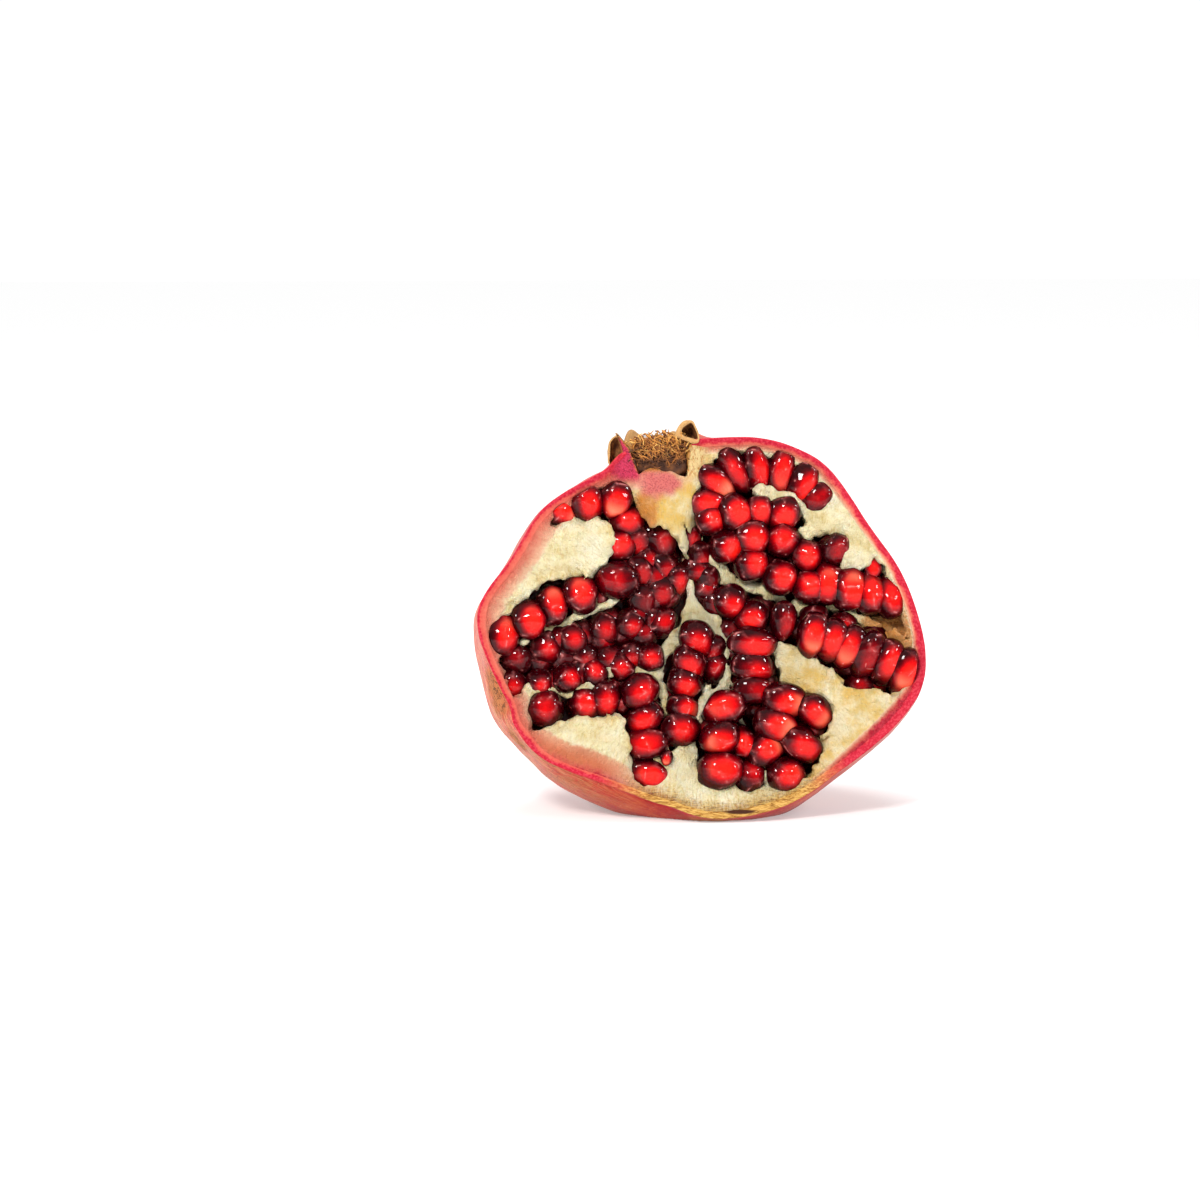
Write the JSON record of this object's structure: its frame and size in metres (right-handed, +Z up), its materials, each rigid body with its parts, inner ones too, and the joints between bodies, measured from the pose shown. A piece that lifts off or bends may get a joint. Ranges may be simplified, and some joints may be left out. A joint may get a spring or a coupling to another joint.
{
  "type": "opened pomegranate",
  "caption": "Half of a pomegranate opened lengthways, its clusters of arils, pith and membranes showing, standing on the flattened underside of its skin.",
  "frame": {"origin": "centre of the flat spot on the underside of the skin, where the fruit rests", "axes": "+Z up, +X to the right along the cut face, which is the longest way across; the cut face looks along -Y and leans back"},
  "size_m": [0.1119, 0.0733, 0.0963],
  "materials": {
    "rind": "satin red skin mottled with yellow and orange",
    "pith": "dull cream flesh and thin membranes",
    "arils": "wet, glossy, translucent deep red",
    "stamens": "dry, fibrous, golden brown"
  },
  "bodies": {
    "root": {"rind": "rind", "pith": "pith", "stamens": "stamens", "arils_left": "arils", "arils_right": "arils", "arils_centre": "arils", "arils_bottom": "arils", "arils_lower_left": "arils", "arils_upper_right": "arils"}
  },
  "joints": []
}
